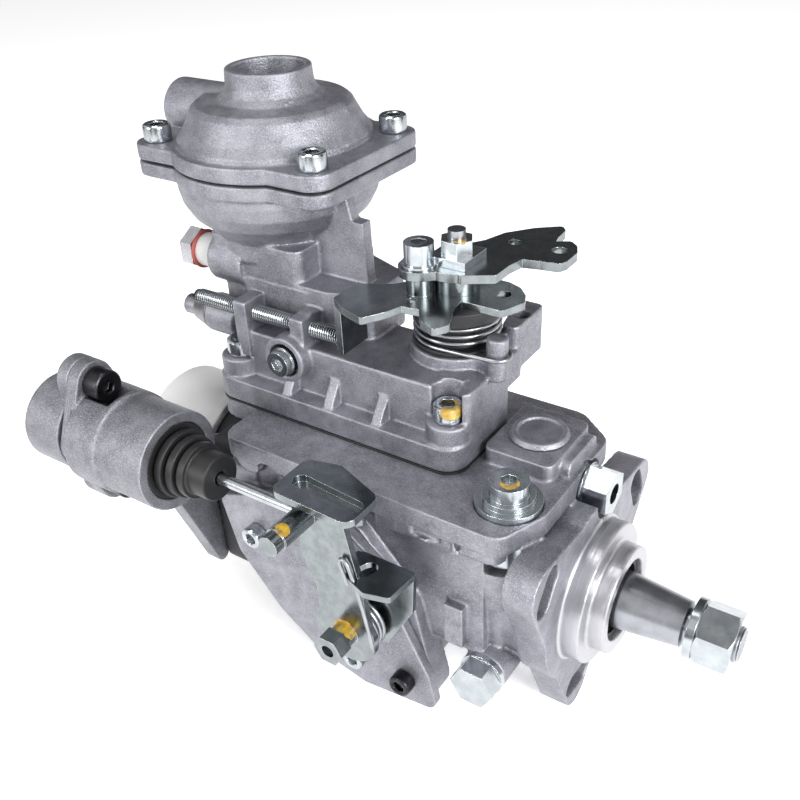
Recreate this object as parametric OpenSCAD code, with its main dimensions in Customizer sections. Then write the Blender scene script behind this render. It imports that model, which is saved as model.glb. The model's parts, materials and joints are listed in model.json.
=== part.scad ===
// Distributor type diesel injection pump with a boost compensator.
// Millimetres. X runs along the drive shaft towards the drive end, Z is up, Y points
// away from the side with the cold start lever. The origin is on the shaft axis, on
// the face of the mounting flange.

/* [Mounting flange] */
// pilot spigot radius
pilot_r = 25; // [20:0.5:34]
// pilot spigot length
pilot_len = 7; // [4:0.5:12]
// flange plate thickness
flange_t = 11; // [8:0.5:16]
// distance from the axis to each flange slot
slot_r = 42; // [36:0.5:50]
// slot half width, for an M8 stud
slot_half = 4.5; // [3.5:0.1:6]
// flange turn about the shaft
flange_turn = -6; // [-15:1:15]

/* [Drive shaft] */
// journal radius
shaft_r = 10; // [8:0.5:12.5]
// radial running clearance of the turning parts
run_fit = 0.03; // [0.01:0.01:0.08]
// nose length beyond the spigot
nose_len = 6; // [4:0.5:10]
// nose radius
nose_r = 19; // [16:0.5:24]
// taper length
taper_len = 21; // [15:1:30]
// thread radius of the shaft end
shaft_thread_r = 6; // [5:0.5:8]
// nut size across flats
nut_af = 19; // [17:1:24]

/* [Housing] */
// rear face of the housing
rear_x = -127; // [-140:1:-115]
// top deck height
deck_z = 42; // [36:1:50]
// deck half width
deck_half = 39; // [34:1:44]
// housing half width under the deck
wall_half = 35; // [30:1:40]
// housing floor height
floor_z = -30; // [-34:1:-27]
// timing piston height
timing_z = -31; // [-34:0.5:-28]
// timing piston position along the shaft
timing_x = -59; // [-64:1:-54]
// timing piston radius
timing_r = 9; // [7:0.5:10]

/* [Governor cover] */
// cover front face
cover_front = -41; // [-46:1:-38]
// cover rear end
cover_rear = -147; // [-152:1:-143]
// cover half width
cover_half = 19.5; // [18:0.5:24]
// cover top height
cover_top = 70; // [66:1:76]
// throttle boss height
boss_top = 75; // [72:1:80]
// cover flange height
cover_foot = 9; // [7:0.5:12]
// cover screw rows, half spacing
cover_screw_y = 11; // [10:0.5:14]
// front cover screws along the shaft
cover_screw_front = -49; // [-52:0.5:-46]
// rear cover screws along the shaft
cover_screw_rear = -139; // [-142:0.5:-136]
// gasket thickness
gasket_t = 0.8; // [0.5:0.1:1.5]

/* [Boost compensator] */
// compensator axis along the shaft
dome_x = -139; // [-145:0.5:-133]
// compensator axis across
dome_y = 21; // [14:0.5:28]
// parting height
dome_z = 125; // [118:0.5:132]
// bowl outer radius
dome_r = 36; // [32:0.5:40]
// screw pattern half length
dome_screw_x = 35; // [30:0.5:38]
// screw pattern half width
dome_screw_y = 23; // [20:0.5:28]
// diaphragm travel
boost_travel = 5; // [3:0.5:7]

/* [Throttle] */
// throttle shaft along the pump
throttle_x = -59.5; // [-64:0.5:-55]
// throttle shaft across the pump
throttle_y = 13; // [10:0.5:16]
// throttle shaft radius
throttle_r = 5; // [4:0.5:6]
// spring seat radius
seat_r = 17; // [15:0.5:20]

/* [Cold start lever] */
// pivot along the pump
pivot_x = -62; // [-66:0.5:-58]
// pivot height
pivot_z = -5; // [-10:0.5:0]
// outer face of the lever plate
lever_y = -57.5; // [-62:0.5:-54]
// height of the push rod
rod_z = 40.5; // [36:0.5:44]
// distance of the push rod from the shaft axis
rod_y = -57; // [-64:0.5:-54]

/* [Fuel lines] */
// inlet height
inlet_z = 33; // [30:0.5:38]
// inlet distance from the shaft axis
inlet_y = 11; // [8:0.5:16]
// outlet circle radius in the distributor head
outlet_r = 16; // [14:0.5:20]

/* [Hidden] */
$fn = 64;
near = 0.01;
alu = [0.66, 0.65, 0.68];
zinc = [0.72, 0.75, 0.77];
steel = [0.42, 0.43, 0.45];
black = [0.06, 0.06, 0.065];
white = [0.93, 0.93, 0.92];
brass = [0.72, 0.62, 0.38];
nose_x = pilot_len + nose_len;
taper_x = nose_x + taper_len;
gear_m = 1;
drive_teeth = 34;
gov_teeth = 20;
gov_z = gear_m * (drive_teeth + gov_teeth) / 2;
ring_r = 17;
roller_x = -66;
roller_r = 4;
cam_lift = 2.2;
cam_face = roller_x - roller_r - cam_lift;
plunger_r = 5.5;
head_x = rear_x - 14;
head_end = -163;
head_screw_z = [-20, 22];
timing_screw_at = [[-110, 8], [-68, -30], [-48, -32]];
spring_y = 13;
wax_screw_z = 21;
horn_z = dome_z + 11.5;
horn_end = dome_x - 44;
gov_pivot_x = -90.5;
gov_pivot_z = 14.5;
lower_z = 91;
upper_z = 100;
pin_gap = 0.3;

module from_x(p) translate(p) rotate([0, 90, 0]) children();
module from_y(p) translate(p) rotate([-90, 0, 0]) children();
module slab_x(x0, x1) translate([x0, 0, 0]) rotate([90, 0, 90]) linear_extrude(x1 - x0) children();
module slab_y(y0, y1) translate([0, y1, 0]) rotate([90, 0, 0]) linear_extrude(y1 - y0) children();
module slab_z(z0, z1) translate([0, 0, z0]) linear_extrude(z1 - z0) children();

// A polygon grown by r on every side, with its outer corners rounded to radius r.
function outward(p) = sign([for (i = [0 : len(p) - 1]) cross(p[i], p[(i + 1) % len(p)])] * [for (q = p) 1]);
function side(u, s, r) = s * r * [u[1], -u[0]] / norm(u);
function corner(a, b, c, s, r) =
  let (u = b - a, v = c - b, turn = atan2(cross(u, v), u * v), m = side(u, s, r), k = side(v, s, r),
    steps = ceil(abs(turn) / 12))
  s * turn > 1
    ? [for (i = [0 : steps]) let (t = turn * i / steps) b + [m[0] * cos(t) - m[1] * sin(t), m[0] * sin(t) + m[1] * cos(t)]]
    : [b + (m + k) / (1 + m * k / r / r)];
module rounded(p, r) {
  n = len(p);
  polygon([for (i = [0 : n - 1]) each corner(p[(i + n - 1) % n], p[i], p[(i + 1) % n], outward(p), r)]);
}

module bar2(a, b, r) {
  d = b - a;
  n = [d[1], -d[0]] / norm(d) * r;
  translate(a) circle(r);
  translate(b) circle(r);
  polygon([a + n, b + n, b - n, a - n]);
}

module tube(r, bore, h) {
  difference() {
    cylinder(r = r, h = h);
    translate([0, 0, -1]) cylinder(r = bore, h = h + 2);
  }
}

module hex(af, h) cylinder(r = af / 2 / cos(30), h = h, $fn = 6);

// Socket head screw: the head's seat is at z = 0 and the shank points down.
module socket_screw(r, grip, head_r = 0, head_h = 0) {
  hr = head_r > 0 ? head_r : r * 5 / 3;
  hh = head_h > 0 ? head_h : r * 2;
  difference() {
    union() {
      cylinder(r = hr, h = hh);
      translate([0, 0, -grip]) cylinder(r = r, h = grip + near);
    }
    translate([0, 0, hh - r * 1.1]) hex(r * 5 / 3, r * 1.1 + 1);
  }
}

module ring_wire(r, wire) rotate_extrude() translate([r, 0]) circle(wire, $fn = 24);

module gear(teeth, m, turn) {
  p = teeth * m / 2;
  a = 360 / teeth;
  rotate(turn) {
    circle(p - 1.25 * m);
    for (i = [0 : teeth - 1]) rotate(i * a)
      polygon([[p - 1.4 * m, -a * 0.0044 * p], [p, -a * 0.0038 * p], [p + 0.85 * m, -a * 0.0018 * p],
        [p + 0.85 * m, a * 0.0018 * p], [p, a * 0.0038 * p], [p - 1.4 * m, a * 0.0044 * p]]);
  }
}

module dome_corners() {
  for (sx = [-1, 1], sy = [-1, 1]) translate([dome_x + sx * dome_screw_x, dome_y + sy * dome_screw_y])
    children();
}

module cover_corners() {
  for (x = [cover_screw_front, cover_screw_rear], y = [-cover_screw_y, cover_screw_y])
    translate([x, y]) children();
}

module flange_outline() {
  difference() {
    union() {
      rounded([for (a = [30, 150, 270]) (slot_r + 2.5) * [cos(a + flange_turn), sin(a + flange_turn)]], slot_half + 4);
      circle(33.2);
    }
    for (a = [30, 150, 270]) rotate(a + flange_turn) flange_slot();
  }
}

function arc(c, r, a, b) = [for (i = [0 : 12]) let (t = a + (b - a) * i / 12) c + r * [cos(t), sin(t)]];
module flange_slot() {
  polygon(concat(arc([0, 0], slot_r + slot_half, -6, 6), arc(slot_r * [cos(6), sin(6)], slot_half, 6, 186),
    arc([0, 0], slot_r - slot_half, 6, -6), arc(slot_r * [cos(6), -sin(6)], slot_half, 174, 354)));
}

module deck_outline() {
  rounded([[rear_x + 6, -deck_half + 6], [-19, -deck_half + 6], [-14, -20], [-14, 24],
    [-24, deck_half - 7], [rear_x + 6, deck_half - 7]], 6);
}

module wall_outline() {
  rounded([[-wall_half + 18, floor_z + 4], [wall_half - 18, floor_z + 4], [wall_half - 4, floor_z + 17],
    [wall_half - 4, deck_z - 8], [-wall_half + 4, deck_z - 8], [-wall_half + 4, floor_z + 17]], 4);
}

module housing() {
  color(alu) difference() {
    union() {
      slab_x(-flange_t, 0) flange_outline();
      from_x([-1, 0, 0]) cylinder(r = pilot_r, h = pilot_len + 1);
      from_x([-1, 0, 0]) cylinder(r = nose_r, h = nose_x + 1);
      from_x([-32, 0, 0]) cylinder(r = 31, h = 25);
      slab_x(rear_x + 3, -22) wall_outline();
      slab_z(deck_z - 8, deck_z) deck_outline();
      slab_z(deck_z - 14, deck_z - 7) rounded([[-60, -34], [-20, -32], [-20, 28], [-60, 32]], 4);
      from_y([timing_x, -40, timing_z]) cylinder(r = 14, h = 80);
      slab_y(-40, -30) rounded([[-118, 16], [-118, -2], [-72, -36], [-44, -36], [-52, 0], [-70, 20]], 6);
      slab_y(28, 36) rounded([[-100, 10], [-72, -34], [-46, -34], [-40, 10]], 5);
      from_x([-30, inlet_y, inlet_z]) cylinder(r = 10, h = 20);
      slab_z(deck_z - 2, deck_z + 6) rounded([[-36, -3], [-17, -3], [-17, 22], [-36, 22]], 3);
      slab_x(-20, -10.2) rounded([[3, 24], [19, 24], [19, 44], [3, 44]], 3);
      translate([-21, -21, 22]) cylinder(r = 13, h = 21);
      translate([-22, -23, -12]) cylinder(r1 = 8, r2 = 12, h = 34.5);
      slab_x(rear_x, rear_x + 12) rounded([[-28, -23], [28, -23], [31, 26], [-31, 26]], 5.5);
      slab_z(deck_z - 7.5, deck_z) rounded([[cover_rear + 8, -cover_half + 8], [rear_x + 20, -cover_half + 8],
        [rear_x + 20, cover_half - 8], [cover_rear + 8, cover_half - 8]], 8);
      for (p = [[-116, 35.2], [-98, 28.6], [-75, 32.6]]) from_y([p[0], -38.2, p[1]]) cylinder(r = 6.3, h = 10);
      for (x = [-92, -80, -68, -56, -44, -32]) translate([x, -deck_half + 1, deck_z - 13]) cube([2.5, 8, 12]);
      translate([-35, -38.5, -11]) cube([7, 10, 17]);
      from_y([-21, -36, -20]) cylinder(r = 8, h = 14);
    }
    shaft_space();
    inner_space();
    fixing_holes();
  }
}

module shaft_space() {
  from_x([-30, 0, 0]) cylinder(r = 12.5, h = 40);
  from_x([5, 0, 0]) cylinder(r = 14.5, h = 20);
  from_x([-40, 0, 0]) cylinder(r = 22.53, h = 16);
  from_x([-50, 0, 0]) cylinder(r = 24.3, h = 13);
  from_x([rear_x, 0, 0]) cylinder(r = ring_r + run_fit, h = 80);
  from_x([rear_x - 1, 0, 0]) cylinder(r = 24, h = 1 - rear_x - 72);
}

module inner_space() {
  translate([-108, -12.5, 0]) cube([69, 25, 38.3]);
  slab_z(30, 60) rounded([[-104, -8], [-66, -8], [-66, 8], [-104, 8]], 4);
  from_y([timing_x, -50, timing_z]) cylinder(r = timing_r + run_fit, h = 100);
  translate([timing_x - 4, -9, timing_z]) cube([8, 18, 20]);
  from_y([gov_pivot_x, -22.5, gov_pivot_z]) cylinder(r = 2.8 + run_fit, h = 45);
  from_x([-40, 0, gov_z]) cylinder(r = 3.5, h = 10.02);
}

module fixing_holes() {
  cover_holes();
  translate([-21, -21, 24]) cylinder(r = 11, h = 30);
  translate([-21, -21, 14]) cylinder(r = 6, h = 12);
  from_x([-18.5, inlet_y, inlet_z]) cylinder(r = 6, h = 20);
  from_x([-32, inlet_y, inlet_z]) cylinder(r = 3, h = 20);
  from_x([-10, inlet_y, inlet_z]) cylinder(r = 9.2, h = 12);
  translate([-26, 10, deck_z + 1]) cylinder(r = 9, h = 10);
  translate([-47.5, -41, 30]) cube([10.5, 5, 4.4]);
  translate([-31, -41, 30.5]) cube([10, 5.5, 4]);
  from_y([-36, -42, timing_z + 8]) cylinder(r = 2.5, h = 12);
  for (s = [-1, 1]) from_y([timing_x + s * 11, 28, timing_z]) cylinder(r = 2.5, h = 14);
  for (p = timing_screw_at) from_y([p[0], -41, p[1]]) cylinder(r = 2.5, h = 10);
  for (y = [-25, 25], z = head_screw_z) from_x([rear_x - 1, y, z]) cylinder(r = 3, h = 14);
  from_y([-107, -42, 31]) cylinder(r = 5, h = 5);
  from_y([pivot_x, -41, pivot_z]) cylinder(r = 5 + pin_gap, h = 6);
  from_y([-21, -37, -20]) cylinder(r = 5, h = 12);
}

module cover_holes() {
  translate([0, 0, 36]) cover_corners() cylinder(r = 3, h = 30);
}

module cover_outline(grow) {
  rounded([[cover_rear + 8, -cover_half + 8], [cover_front - 8, -cover_half + 8],
    [cover_front - 8, cover_half - 8], [cover_rear + 8, cover_half - 8]], 8 + grow);
}

module cover_gasket() {
  color(black) slab_z(deck_z, deck_z + gasket_t) difference() {
    cover_outline(0);
    rounded([[-104, -8], [-66, -8], [-66, 8], [-104, 8]], 4);
    cover_corners() circle(3.3);
  }
}

foot_z = deck_z + gasket_t;
module cover_block() {
  rounded([[cover_rear + 12, -8.5], [cover_front - 4, -8.5], [cover_front - 4, 14], [cover_rear + 12, 14]], 4);
}

module gov_cover() {
  color(alu) difference() {
    union() {
      slab_z(foot_z, foot_z + cover_foot) cover_outline(0);
      slab_z(foot_z + 1, cover_top) cover_block();
      slab_z(foot_z + 2, foot_z + 16) cover_corners() circle(7.5);
      slab_z(58, cover_top - 0.5) rounded([[-74, 10], [cover_front - 5.5, 10], [cover_front - 5.5, 24], [-66, 28]], 5);
      slab_z(61, 78) rounded([[-46, 25], [-44.5, 25], [-44.5, 41], [-49.5, 41]], 2.5);
      translate([throttle_x, throttle_y, 50]) cylinder(r = seat_r - 0.8, h = boss_top - 50);
      slab_z(cover_top - 2, 88) rounded([[-148, 1.2], [-104, 1.2], [-92, 6], [-92, 22], [-108, 28], [-120, 36],
        [-146, 34]], 4);
      slab_z(foot_z + 3, 86) rounded([[-139, 0.8], [-112, 0.8], [-106, 4], [-106, 16], [-139, 16]], 4);
      translate([dome_x, dome_y, 0]) rotate_extrude()
        polygon([[0, 91], [dome_r - 12, 91], [dome_r - 11, 92.5], [dome_r - 11, 99], [dome_r - 7.5, 103],
          [dome_r - 3, 107], [dome_r - 0.3, 112], [dome_r + 0.7, 117], [dome_r + 0.7, dome_z - 0.5], [0, dome_z - 0.5]]);
      slab_z(dome_z - 5, dome_z) dome_plate();
      slab_y(9, 14) polygon([[-120, 86], [-93, 86], [-94, 110.3], [-98.5, 110.6], [-101, 121.5], [-120, 121.5]]);
      slab_z(87, 100) rounded([[-152, 1], [-118, 1], [-118, 24], [-152, 24]], 4);
      for (x = [-137, -111]) slab_x(x, x + 5.5) rounded([[-9.5, 62], [-4, 62], [-4, 78], [-8, 79]], 3);
      from_y([-112, -18, 66]) cylinder(r = 8.5, h = 12);
      for (x = [-114.5, -96, -75.5]) slab_x(x, x + 4)
        polygon([[-11, foot_z + 6], [-19, foot_z + 8.5], [-17, foot_z + 12], [-11, foot_z + 21]]);
      from_x([-158, -2, 67]) cylinder(r = 7.5, h = 20);
      from_x([-156, 4, 89]) cylinder(r = 9.5, h = 16);
      translate([-51, -2, cover_top - 1]) cylinder(r = 5.5, h = 1.8);
      translate([-39.6, 4.5, 69]) cylinder(r = 3.6, h = 15);
      slab_z(68.5, boss_top - 0.4) bar2([-52, 9], [-39.6, 4.5], 3);
    }
    cover_space();
    cover_bores();
  }
}

module dome_plate() {
  rounded([for (s = [[-1, -1], [1, -1], [1, 1], [-1, 1]])
    [dome_x + s[0] * dome_screw_x, dome_y + s[1] * dome_screw_y]], 7.9);
  translate([dome_x, dome_y]) circle(dome_r + 1.4);
}

module cover_space() {
  slab_z(foot_z - 1, 67) rounded([[-104, -6], [-58, -6], [-58, 9], [-104, 9]], 3);
  translate([throttle_x, throttle_y, 49]) cylinder(r = 7, h = 18);
  translate([dome_x, dome_y, 0]) rotate_extrude()
    polygon([[0, 104], [16, 104], [26, 111], [30, 117], [30, dome_z + 1], [0, dome_z + 1]]);
  translate([dome_x, dome_y, 56]) cylinder(r = 6 + run_fit, h = 50);
  slab_z(57, 66.5) bar2([dome_x, dome_y], [-102, 3], 4);
}

module cover_bores() {
  translate([0, 0, foot_z - 1]) cover_corners() cylinder(r = 3.3, h = 40);
  translate([0, 0, foot_z + 16]) cover_corners() cylinder(r = 5.6, h = 30);
  translate([throttle_x, throttle_y, 60]) cylinder(r = throttle_r + run_fit, h = 40);
  translate([0, 0, dome_z - 6]) dome_corners() cylinder(r = 3, h = 20);
  from_x([-165, -8.5, 76]) cylinder(r = 3, h = 75);
  from_x([-159, -2, 67]) cylinder(r = 4, h = 14);
  from_x([-167, 4, 89]) cylinder(r = 6, h = 18.5);
  from_y([-112, -19, 66]) cylinder(r = 6.2, h = 5);
  from_y([-112, -19, 66]) cylinder(r = 4, h = 12);
  translate([cover_front - 5, 33, 56]) cylinder(r = 3.2, h = 30);
}

module m6_screws() {
  color(zinc) {
    translate([0, 0, foot_z + 16]) cover_corners() socket_screw(3, 22);
    for (y = [-25, 25], z = head_screw_z) translate([head_x, y, z]) rotate([0, -90, 0]) socket_screw(3, 22);
    translate([0, 0, dome_z + 6.2]) dome_corners() socket_screw(3, 11);
  }
}

module m5_screws() {
  color(zinc) {
    for (p = timing_screw_at) translate([p[0], -44, p[1]]) rotate([90, 0, 0]) socket_screw(2.5, 12);
    for (s = [-1, 1]) translate([timing_x + s * 11, 46, timing_z]) rotate([-90, 0, 0]) socket_screw(2.5, 12);
    for (z = [-wax_screw_z, wax_screw_z]) translate([-166, rod_y, rod_z + z]) rotate([0, 90, 0])
      socket_screw(2.5, 11, 6, 7);
  }
}

module comp_cap() {
  color(alu) difference() {
    union() {
      slab_z(dome_z + 0.8, dome_z + 6.2) dome_plate();
      translate([dome_x, dome_y, 0]) rotate_extrude()
        polygon([[0, dome_z + 2], [35, dome_z + 2], [34.6, dome_z + 8], [32.2, dome_z + 11], [30, dome_z + 15],
          [28.5, dome_z + 18], [26.5, dome_z + 19.6], [19, dome_z + 20.4], [16.6, dome_z + 22.3],
          [15.4, dome_z + 25], [15, dome_z + 30.5], [0, dome_z + 30.5]]);
      from_x([horn_end, dome_y, horn_z]) cylinder(r = 10.5, h = 30);
    }
    translate([dome_x, dome_y, dome_z + 20]) cylinder(r = 12.5, h = 20);
    translate([dome_x, dome_y, 0]) rotate_extrude()
      polygon([[0, dome_z], [30, dome_z], [30, dome_z + 4], [22, dome_z + 13], [0, dome_z + 13]]);
    translate([0, 0, dome_z - 1]) dome_corners() cylinder(r = 3.3, h = 20);
    translate([dome_x, dome_y, dome_z + 10]) cylinder(r = 2, h = 20);
    from_x([horn_end - 1, dome_y, horn_z]) cylinder(r = 5, h = 13);
    from_x([horn_end + 11, dome_y, horn_z]) cylinder(r = 1.8, h = 16);
  }
}

module diaphragm() {
  color(black) slab_z(dome_z, dome_z + 0.8) difference() {
    translate([dome_x, dome_y]) circle(dome_r);
    translate([dome_x, dome_y]) circle(5);
  }
}

module boost_pin() {
  color(steel) translate([dome_x, dome_y, 0]) {
    translate([0, 0, 62]) cylinder(r = 3, h = 14);
    translate([0, 0, 75]) cylinder(r = 6, h = 46);
    translate([0, 0, 118]) cylinder(r = 4.7, h = 11);
    translate([0, 0, dome_z - 3]) cylinder(r = 20, h = 3 - near);
    translate([0, 0, dome_z + 0.8 + near]) cylinder(r = 18, h = 2);
  }
}

module boost_spring() {
  color(steel) translate([dome_x, dome_y, 105]) for (i = [0 : 6]) translate([0, 0, i * 2.65]) ring_wire(11, 0.9);
}

module drive_shaft() {
  color(steel) {
    rotate([0, 90, 0]) rotate_extrude()
      polygon([[0, -60], [8, -60], [8, -48], [9, -47], [9, -24], [shaft_r, -23], [shaft_r, nose_x],
        [shaft_r - taper_len / 10, taper_x], [shaft_thread_r, taper_x + 0.5],
        [shaft_thread_r, taper_x + 17], [shaft_thread_r - 1, taper_x + 18], [0, taper_x + 18]]);
    translate([-69, -3, -7.5]) cube([9.5, 6, 15]);
  }
}

module shaft_nut() {
  color(zinc) from_x([taper_x + 2, 0, 0]) difference() {
    tube(10.5, shaft_thread_r, 2.6);
    translate([0, -0.6, -1]) cube([12, 1.2, 5]);
  }
  color(zinc) from_x([taper_x + 4.6, 0, 0]) difference() {
    intersection() {
      hex(nut_af, 12);
      rotate_extrude() polygon([[0, 0], [nut_af / 2, 0], [nut_af / 2 + 1.7, 1.2], [nut_af / 2 + 1.7, 10.8],
        [nut_af / 2, 12], [0, 12]]);
    }
    translate([0, 0, -1]) cylinder(r = shaft_thread_r, h = 20);
  }
}

module shaft_seal() {
  color(black) from_x([5, 0, 0]) {
    tube(14.5, 12.6, 6);
    tube(13, shaft_r + run_fit, 2.5);
  }
}

module front_bush() {
  color(brass) from_x([-23, 0, 0]) tube(12.5, shaft_r + run_fit, 27);
}

module vane_rotor() {
  color(steel) slab_x(-34.5, -25) difference() {
    circle(15);
    circle(9);
    for (a = [0 : 90 : 270]) rotate(a + 45) translate([10.5, -1.25]) square([6, 2.5]);
  }
}

module vanes() {
  color(zinc) slab_x(-34.4, -25.1) for (a = [0 : 90 : 270]) rotate(a + 45) translate([11, -1.2]) square([5.6, 2.4]);
}

module vane_ring() {
  color(steel) slab_x(-34.8, -24.6) difference() {
    circle(22.5);
    circle(17.2);
  }
  color(steel) slab_x(-37.5, -35) difference() {
    circle(22.5);
    circle(9.3);
    for (a = [20, 200]) rotate(a) translate([19.5, 0]) circle(1.6);
  }
}

module drive_gear() {
  color(steel) slab_x(-46, -40) difference() {
    gear(drive_teeth, gear_m, 0);
    circle(9);
    for (a = [0 : 60 : 300]) rotate(a) translate([14, 0]) circle(2.2);
  }
}

module roller_ring() {
  color(steel) difference() {
    union() {
      slab_x(-65, -53) circle(ring_r);
      translate([timing_x, 0, -27]) cylinder(r = 3, h = 12);
    }
    from_x([-66, 0, 0]) cylinder(r = 9.4, h = 20);
    for (a = [0 : 90 : 270]) rotate([a, 0, 0]) translate([roller_x, 0, 10.4]) cylinder(r = roller_r + 0.02, h = 5.9);
  }
}

module rollers() {
  color(zinc) for (a = [0 : 90 : 270]) rotate([a, 0, 0]) translate([roller_x + 0.05, 0, 10.8])
    cylinder(r = roller_r - 0.05, h = 5.2);
}

module cam_disc() {
  color(steel) difference() {
    union() {
      slab_x(cam_face - 6, cam_face) circle(16.2);
      from_x([cam_face - near, 0, 0]) cylinder(r = 8.9, h = 8);
      intersection() {
        for (a = [45 : 90 : 315]) rotate([a, 0, 0]) translate([cam_face + cam_lift - 8, 0, 9]) cylinder(r = 8, h = 8);
        slab_x(cam_face - 2, cam_face + cam_lift) circle(15.8);
      }
    }
    translate([cam_face + 0.5, -3.3, -10]) cube([20, 6.6, 20]);
    from_x([cam_face - 7, 0, 0]) cylinder(r = 4.5, h = 5);
  }
}

module plunger() {
  color(zinc) difference() {
    union() {
      from_x([-154, 0, 0]) cylinder(r = plunger_r, h = 154 + cam_face - 6);
      from_x([cam_face - 6 - near, 0, 0]) cylinder(r = 4.4, h = 4);
    }
    from_x([-155, 0, 0]) cylinder(r = 1, h = 68);
    from_y([-90, -7, 0]) cylinder(r = 1, h = 14);
  }
}

module spring_bridge() {
  color(steel) slab_x(cam_face - 8.8, cam_face - 6.3) difference() {
    union() {
      circle(10);
      bar2([-spring_y, 0], [spring_y, 0], 4.5);
    }
    circle(plunger_r + 0.3);
  }
}

module plunger_springs() {
  color(steel) for (y = [-spring_y, spring_y]) for (i = [0 : 15])
    from_x([cam_face - 9.7 - i * 2.41, y, 0]) ring_wire(3.6, 0.8);
}

module control_sleeve() {
  color(steel) from_x([gov_pivot_x - 4.5, 0, 0]) difference() {
    tube(8, plunger_r + 0.02, 9);
    translate([-9, 0, 4.5]) rotate([0, 90, 0]) cylinder(r = 2.2, h = 3);
  }
}

module gov_shaft() {
  color(steel) from_x([-84, 0, gov_z]) cylinder(r = 3.5, h = 54);
}

module gov_gear() {
  color(steel) difference() {
    union() {
      translate([0, 0, gov_z]) slab_x(-46, -40.5) gear(gov_teeth, gear_m, 0);
      from_x([-49, 0, gov_z]) tube(8.9, 3.6, 3.2);
      for (a = [45 : 90 : 315]) translate([0, 0, gov_z]) rotate([a, 0, 0]) translate([-66, -1, 6.2]) cube([18, 2, 2.8]);
      from_x([-67, 0, gov_z]) tube(9.4, 7, 2);
    }
    from_x([-70, 0, gov_z]) cylinder(r = 3.5 + run_fit, h = 40);
  }
}

module flyweights() {
  color(steel) for (a = [0 : 90 : 270]) translate([0, 0, gov_z]) rotate([a, 0, 0])
    translate([-63, -3, 5.2]) cube([13.7, 6, 3.6]);
}

module gov_sleeve() {
  color(zinc) difference() {
    union() {
      from_x([-86.5, 0, gov_z]) cylinder(r = 5.6, h = 23.1);
      from_x([-72, 0, gov_z]) cylinder(r = 7, h = 2);
      from_x([-88.6, 0, gov_z]) cylinder(r = 1.9, h = 3);
    }
    from_x([-85.5, 0, gov_z]) cylinder(r = 3.5 + run_fit, h = 30);
  }
}

module gov_lever() {
  color(zinc) {
    slab_x(gov_pivot_x - 1.5, gov_pivot_x + 1.5) rounded([[-6.5, 15], [6.5, 15], [4, 58], [-4, 58]], 2);
    from_y([gov_pivot_x, -22, gov_pivot_z]) cylinder(r = 2.8, h = 44);
    translate([gov_pivot_x, 0, 6.4]) cylinder(r = 1.9, h = 9);
  }
}

module timing_piston() {
  color(steel) difference() {
    from_y([timing_x, -26, timing_z]) cylinder(r = timing_r, h = 44);
    translate([timing_x, 0, timing_z]) cylinder(r = 3.5, h = 20);
    from_y([timing_x, 11, timing_z]) cylinder(r = 6.8, h = 10);
  }
}

module timing_spring() {
  color(steel) for (i = [0 : 13]) from_y([timing_x, 12 + i * 2.09, timing_z]) ring_wire(5.6, 0.8);
}

module timing_cap() {
  color(alu) difference() {
    slab_y(40, 46) bar2([timing_x - 13, timing_z], [timing_x + 13, timing_z], 9);
    for (s = [-1, 1]) from_y([timing_x + s * 11, 38, timing_z]) cylinder(r = 2.7, h = 20);
  }
}

module timing_cover() {
  color(alu) difference() {
    slab_y(-44, -40) rounded([[-123, 16], [-118, -4], [-102, -24], [-86, -36], [-66, -41], [-40, -38],
      [-42, -28], [-52, -8], [-60, 14], [-76, 26], [-100, 24]], 4);
    for (p = timing_screw_at) from_y([p[0], -46, p[1]]) cylinder(r = 2.7, h = 10);
    from_y([pivot_x, -46, pivot_z]) cylinder(r = 5 + run_fit, h = 10);
  }
}

module dist_head() {
  color(black) difference() {
    union() {
      from_x([rear_x - near, 0, 0]) cylinder(r = 23.97, h = 8);
      slab_x(head_x, rear_x) rounded([[-27, -22], [27, -22], [27, 25], [-27, 25]], 6);
      from_x([head_end, 0, 2]) cylinder(r = 26, h = 24);
      slab_x(-150, head_x + 1) rounded([[-27, -24], [-12, -24], [-12, 10], [-27, 10]], 4);
    }
    from_x([-157, 0, 0]) cylinder(r = plunger_r + 0.01, h = 60);
    from_x([head_end - 1, 0, 0]) cylinder(r = 8, h = 7);
    for (a = [45 : 90 : 315]) from_x([head_end - 1, outlet_r * cos(a) * 1.05, outlet_r * sin(a) * 1.05]) cylinder(r = 5, h = 16);
    for (a = [45 : 90 : 315]) from_x([head_end - 1, outlet_r * cos(a) * 1.05, outlet_r * sin(a) * 1.05]) cylinder(r = 1.5, h = 24);
    for (y = [-25, 25], z = head_screw_z) from_x([head_x - 20, y, z]) cylinder(r = 3.3, h = 50);
    for (y = [-25, 25], z = head_screw_z) from_x([-200, y, z]) cylinder(r = 5.5, h = 200 + head_x);
  }
}

module outlets(x) {
  for (a = [45 : 90 : 315]) from_x([x, outlet_r * cos(a) * 1.05, outlet_r * sin(a) * 1.05]) children();
}

module valve_holders() {
  color(zinc) outlets(head_end - 14) difference() {
    union() {
      translate([0, 0, 9]) cylinder(r = 5, h = 12);
      translate([0, 0, 8]) hex(13, 6);
      cylinder(r = 5.5, h = 9);
    }
    translate([0, 0, -1]) cylinder(r = 1.5, h = 10);
    translate([0, 0, 8]) cylinder(r = 3, h = 20);
  }
}

module delivery_valves() {
  color(brass) outlets(head_end - 5) difference() {
    cylinder(r = 2.98, h = 12);
    translate([0, 0, -1]) cylinder(r = 1, h = 8);
  }
}

module central_plug() {
  color(zinc) from_x([head_end - 4, 0, 0]) difference() {
    union() {
      translate([0, 0, 4]) cylinder(r = 8, h = 5);
      hex(14, 4 + near);
    }
    translate([0, 0, -1]) cylinder(r = 2, h = 4);
  }
}

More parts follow.
